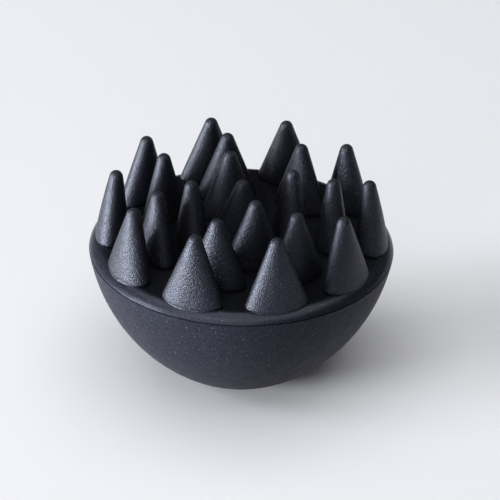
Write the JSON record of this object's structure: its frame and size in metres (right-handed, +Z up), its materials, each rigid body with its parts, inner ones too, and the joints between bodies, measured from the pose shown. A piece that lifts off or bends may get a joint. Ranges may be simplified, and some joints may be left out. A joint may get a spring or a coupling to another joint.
{
  "type": "scalp massager brush",
  "caption": "Bowl-shaped palm grip closed by a round face plate with rings of soft flattened cone bristles that flex at their roots, for massaging the scalp.",
  "frame": {"origin": "centre of the flat base that the brush rests on", "axes": "+Z up from the base through the bristles, +X to the right and +Y away as the picture sees it"},
  "size_m": [0.076, 0.076, 0.054],
  "materials": {
    "grip_shell": "satin charcoal moulding with fine pale flecks",
    "face_shell": "smooth satin charcoal moulding",
    "bristle_soft": "soft charcoal elastomer with a grainy spark-eroded skin"
  },
  "bodies": {
    "base": {"grip_bowl": "grip_shell", "face_plate": "face_shell"},
    "bristle_centre": {"bristle_centre": "bristle_soft"},
    "bristle_inner_1": {"bristle_inner_1": "bristle_soft"},
    "bristle_inner_2": {"bristle_inner_2": "bristle_soft"},
    "bristle_inner_3": {"bristle_inner_3": "bristle_soft"},
    "bristle_inner_4": {"bristle_inner_4": "bristle_soft"},
    "bristle_middle_1": {"bristle_middle_1": "bristle_soft"},
    "bristle_middle_2": {"bristle_middle_2": "bristle_soft"},
    "bristle_middle_3": {"bristle_middle_3": "bristle_soft"},
    "bristle_middle_4": {"bristle_middle_4": "bristle_soft"},
    "bristle_middle_5": {"bristle_middle_5": "bristle_soft"},
    "bristle_middle_6": {"bristle_middle_6": "bristle_soft"},
    "bristle_middle_7": {"bristle_middle_7": "bristle_soft"},
    "bristle_outer_1": {"bristle_outer_1": "bristle_soft"},
    "bristle_outer_2": {"bristle_outer_2": "bristle_soft"},
    "bristle_outer_3": {"bristle_outer_3": "bristle_soft"},
    "bristle_outer_4": {"bristle_outer_4": "bristle_soft"},
    "bristle_outer_5": {"bristle_outer_5": "bristle_soft"},
    "bristle_outer_6": {"bristle_outer_6": "bristle_soft"},
    "bristle_outer_7": {"bristle_outer_7": "bristle_soft"},
    "bristle_outer_8": {"bristle_outer_8": "bristle_soft"},
    "bristle_outer_9": {"bristle_outer_9": "bristle_soft"},
    "bristle_outer_10": {"bristle_outer_10": "bristle_soft"}
  },
  "joints": [
    {"name": "bristle_centre_flex", "type": "hinge", "parent": "base", "child": "bristle_centre", "pos_m": [0, 0, 0.035], "axis": [-1, 0, 0], "range_deg": [-4, 4], "stiffness_Nm_per_rad": 0.06},
    {"name": "bristle_inner_1_flex", "type": "hinge", "parent": "base", "child": "bristle_inner_1", "pos_m": [0.01208, 0.00317, 0.035], "axis": [-0.2538, 0.9673, 0], "range_deg": [-4, 4], "stiffness_Nm_per_rad": 0.06},
    {"name": "bristle_inner_2_flex", "type": "hinge", "parent": "base", "child": "bristle_inner_2", "pos_m": [-0.00317, 0.01208, 0.035], "axis": [-0.9673, -0.2538, 0], "range_deg": [-4, 4], "stiffness_Nm_per_rad": 0.06},
    {"name": "bristle_inner_3_flex", "type": "hinge", "parent": "base", "child": "bristle_inner_3", "pos_m": [-0.01208, -0.00317, 0.035], "axis": [0.2538, -0.9673, 0], "range_deg": [-4, 4], "stiffness_Nm_per_rad": 0.06},
    {"name": "bristle_inner_4_flex", "type": "hinge", "parent": "base", "child": "bristle_inner_4", "pos_m": [0.00317, -0.01208, 0.035], "axis": [0.9673, 0.2538, 0], "range_deg": [-4, 4], "stiffness_Nm_per_rad": 0.06},
    {"name": "bristle_middle_1_flex", "type": "hinge", "parent": "base", "child": "bristle_middle_1", "pos_m": [0.02258, -0.00095, 0.035], "axis": [0.0419, 0.9991, 0], "range_deg": [-4, 4], "stiffness_Nm_per_rad": 0.06},
    {"name": "bristle_middle_2_flex", "type": "hinge", "parent": "base", "child": "bristle_middle_2", "pos_m": [0.01482, 0.01706, 0.035], "axis": [-0.755, 0.6557, 0], "range_deg": [-4, 4], "stiffness_Nm_per_rad": 0.06},
    {"name": "bristle_middle_3_flex", "type": "hinge", "parent": "base", "child": "bristle_middle_3", "pos_m": [-0.0041, 0.02222, 0.035], "axis": [-0.9834, -0.1815, 0], "range_deg": [-4, 4], "stiffness_Nm_per_rad": 0.06},
    {"name": "bristle_middle_4_flex", "type": "hinge", "parent": "base", "child": "bristle_middle_4", "pos_m": [-0.01993, 0.01065, 0.035], "axis": [-0.4712, -0.882, 0], "range_deg": [-4, 4], "stiffness_Nm_per_rad": 0.06},
    {"name": "bristle_middle_5_flex", "type": "hinge", "parent": "base", "child": "bristle_middle_5", "pos_m": [-0.02075, -0.00894, 0.035], "axis": [0.3958, -0.9183, 0], "range_deg": [-4, 4], "stiffness_Nm_per_rad": 0.06},
    {"name": "bristle_middle_6_flex", "type": "hinge", "parent": "base", "child": "bristle_middle_6", "pos_m": [-0.00595, -0.0218, 0.035], "axis": [0.9648, -0.2632, 0], "range_deg": [-4, 4], "stiffness_Nm_per_rad": 0.06},
    {"name": "bristle_middle_7_flex", "type": "hinge", "parent": "base", "child": "bristle_middle_7", "pos_m": [0.01334, -0.01824, 0.035], "axis": [0.8073, 0.5902, 0], "range_deg": [-4, 4], "stiffness_Nm_per_rad": 0.06},
    {"name": "bristle_outer_1_flex", "type": "hinge", "parent": "base", "child": "bristle_outer_1", "pos_m": [0.03248, -0.00142, 0.035], "axis": [0.0436, 0.999, 0], "range_deg": [-4, 4], "stiffness_Nm_per_rad": 0.06},
    {"name": "bristle_outer_2_flex", "type": "hinge", "parent": "base", "child": "bristle_outer_2", "pos_m": [0.02711, 0.01794, 0.035], "axis": [-0.5519, 0.8339, 0], "range_deg": [-4, 4], "stiffness_Nm_per_rad": 0.06},
    {"name": "bristle_outer_3_flex", "type": "hinge", "parent": "base", "child": "bristle_outer_3", "pos_m": [0.01139, 0.03045, 0.035], "axis": [-0.9367, 0.3502, 0], "range_deg": [-4, 4], "stiffness_Nm_per_rad": 0.06},
    {"name": "bristle_outer_4_flex", "type": "hinge", "parent": "base", "child": "bristle_outer_4", "pos_m": [-0.00869, 0.03133, 0.035], "axis": [-0.9636, -0.2672, 0], "range_deg": [-4, 4], "stiffness_Nm_per_rad": 0.06},
    {"name": "bristle_outer_5_flex", "type": "hinge", "parent": "base", "child": "bristle_outer_5", "pos_m": [-0.02544, 0.02024, 0.035], "axis": [-0.6225, -0.7826, 0], "range_deg": [-4, 4], "stiffness_Nm_per_rad": 0.06},
    {"name": "bristle_outer_6_flex", "type": "hinge", "parent": "base", "child": "bristle_outer_6", "pos_m": [-0.03248, 0.00142, 0.035], "axis": [-0.0436, -0.999, 0], "range_deg": [-4, 4], "stiffness_Nm_per_rad": 0.06},
    {"name": "bristle_outer_7_flex", "type": "hinge", "parent": "base", "child": "bristle_outer_7", "pos_m": [-0.02711, -0.01794, 0.035], "axis": [0.5519, -0.8339, 0], "range_deg": [-4, 4], "stiffness_Nm_per_rad": 0.06},
    {"name": "bristle_outer_8_flex", "type": "hinge", "parent": "base", "child": "bristle_outer_8", "pos_m": [-0.01139, -0.03045, 0.035], "axis": [0.9367, -0.3502, 0], "range_deg": [-4, 4], "stiffness_Nm_per_rad": 0.06},
    {"name": "bristle_outer_9_flex", "type": "hinge", "parent": "base", "child": "bristle_outer_9", "pos_m": [0.00869, -0.03133, 0.035], "axis": [0.9636, 0.2672, 0], "range_deg": [-4, 4], "stiffness_Nm_per_rad": 0.06},
    {"name": "bristle_outer_10_flex", "type": "hinge", "parent": "base", "child": "bristle_outer_10", "pos_m": [0.02544, -0.02024, 0.035], "axis": [0.6225, 0.7826, 0], "range_deg": [-4, 4], "stiffness_Nm_per_rad": 0.06}
  ]
}
